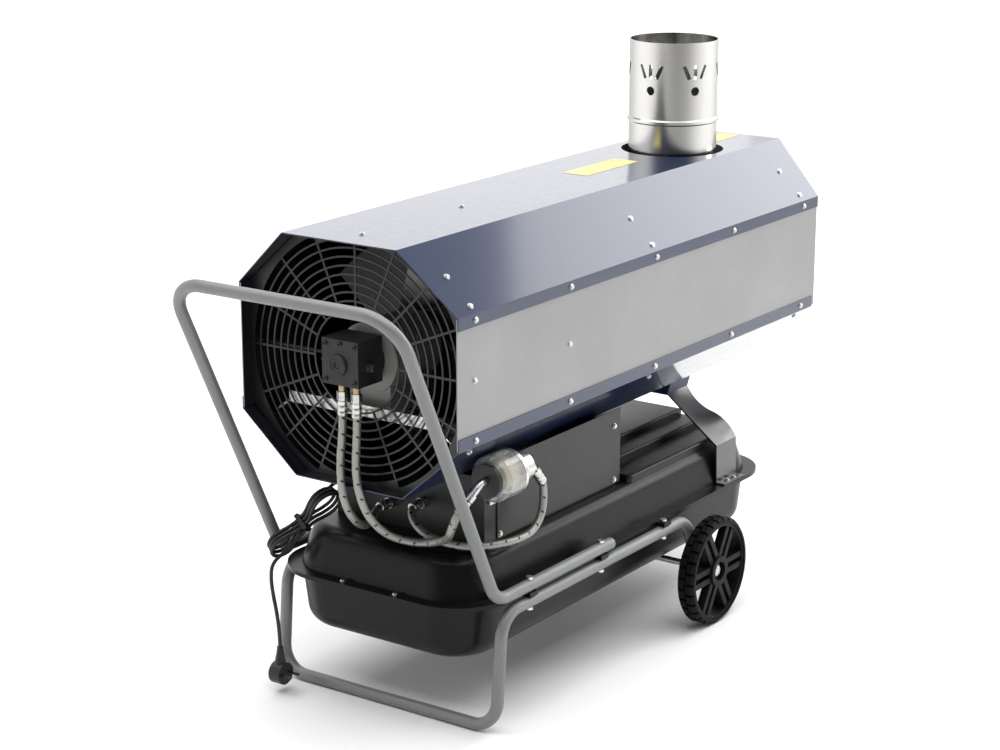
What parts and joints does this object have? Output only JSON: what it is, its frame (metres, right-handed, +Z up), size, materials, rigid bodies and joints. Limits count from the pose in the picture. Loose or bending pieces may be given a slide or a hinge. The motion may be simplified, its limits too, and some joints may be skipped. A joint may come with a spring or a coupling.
{
  "type": "indirect-fired diesel heater",
  "caption": "Wheeled indirect-fired diesel air heater: chamfered housing with flue and intake guard on a fuel tank, tube handle and legs, fuel pump, filter, hoses and tied cord.",
  "frame": {"origin": "on the ground, under the middle of the bounding box without the free cord", "axes": "+X the way the air flows, from the intake guard to the outlet; +Z up; -Y is the right side, shown in the picture"},
  "size_m": [1.33, 0.5256, 0.986],
  "materials": {
    "navy_paint": "gloss",
    "panel_grey": "satin",
    "stainless": "brushed",
    "inner_steel": "matte",
    "guard_black": "satin",
    "tank_black": "semi-gloss",
    "tube_grey": "powder coat",
    "cover_grey": "satin",
    "motor_grey": "satin",
    "pump_black": "satin",
    "fan_alloy": "satin",
    "zinc": "zinc plate",
    "brass": "satin",
    "tyre_rubber": "matte",
    "wheel_plastic": "satin",
    "hose_braid": "woven",
    "clear_bowl": "clear",
    "filter_paper": "matte",
    "black_plastic": "satin",
    "cord_black": "matte",
    "button_red": "gloss",
    "lamp_amber": "gloss",
    "unit_grey": "satin"
  },
  "bodies": {
    "chassis": {"axle_set": "zinc", "burner_nozzle": "brass", "burner_tube": "inner_steel", "combustion_chamber": "inner_steel", "control_box": "cover_grey", "control_box_cover": "cover_grey", "control_plate": "black_plastic", "control_unit": "unit_grey", "cord_gland": "cord_black", "cord_hank": "cord_black", "cord_lead": "cord_black", "cord_tail": "cord_black", "cord_tie": "cord_black", "drain_plug": "zinc", "fan_motor": "motor_grey", "feed_hose": "hose_braid", "filler_neck": "black_plastic", "filter_bowl": "clear_bowl", "filter_elbows": "zinc", "filter_element": "filter_paper", "filter_head": "zinc", "filter_ring": "black_plastic", "flue_stub": "stainless", "frame_bolts": "zinc", "fuel_pump": "pump_black", "handle_tube": "tube_grey", "heat_exchanger": "inner_steel", "hose_unions": "zinc", "ignition_transformer": "motor_grey", "intake_guard": "guard_black", "leg_frame": "tube_grey", "level_gauge": "black_plastic", "lower_shell": "navy_paint", "motor_bracket": "zinc", "nozzle_line": "guard_black", "outlet_plate": "panel_grey", "outlet_spigot": "stainless", "pilot_lamp": "lamp_amber", "plug": "cord_black", "pump_nipples": "brass", "rear_saddle": "cover_grey", "return_hose": "hose_braid", "saddle_block": "navy_paint", "sheet_screws": "zinc", "side_panel_left": "panel_grey", "side_panel_right": "panel_grey", "suction_hose": "hose_braid", "tank_lower": "tank_black", "tank_upper": "tank_black", "tube_caps": "black_plastic", "upper_shell": "navy_paint"},
    "fan": {"fan_impeller": "fan_alloy", "motor_shaft": "inner_steel"},
    "right_wheel": {"wheel_right": "wheel_plastic", "tyre_right": "tyre_rubber"},
    "left_wheel": {"wheel_left": "wheel_plastic", "tyre_left": "tyre_rubber"},
    "selector": {"selector_knob": "black_plastic"},
    "reset": {"reset_button": "button_red"},
    "cap": {"filler_cap": "black_plastic"}
  },
  "joints": [
    {"name": "fan_spin", "type": "hinge", "parent": "chassis", "child": "fan", "pos_m": [-0.29, 0, 0.5895], "axis": [1, 0, 0], "continuous": true},
    {"name": "right_wheel_roll", "type": "hinge", "parent": "chassis", "child": "right_wheel", "pos_m": [0.21, -0.2463, 0.096], "axis": [0, 1, 0], "continuous": true},
    {"name": "left_wheel_roll", "type": "hinge", "parent": "chassis", "child": "left_wheel", "pos_m": [0.21, 0.2463, 0.096], "axis": [0, 1, 0], "continuous": true},
    {"name": "selector_turn", "type": "hinge", "parent": "chassis", "child": "selector", "pos_m": [-0.1975, 0.15, 0.338], "axis": [0, 1, 0], "range_deg": [-60, 60]},
    {"name": "reset_press", "type": "slide", "parent": "chassis", "child": "reset", "axis": [0, -1, 0], "range_m": [0, 0.003], "stiffness_N_per_m": 400},
    {"name": "filler_cap_lift", "type": "slide", "parent": "chassis", "child": "cap", "axis": [0, 0, 1], "range_m": [0, 0.05]}
  ]
}
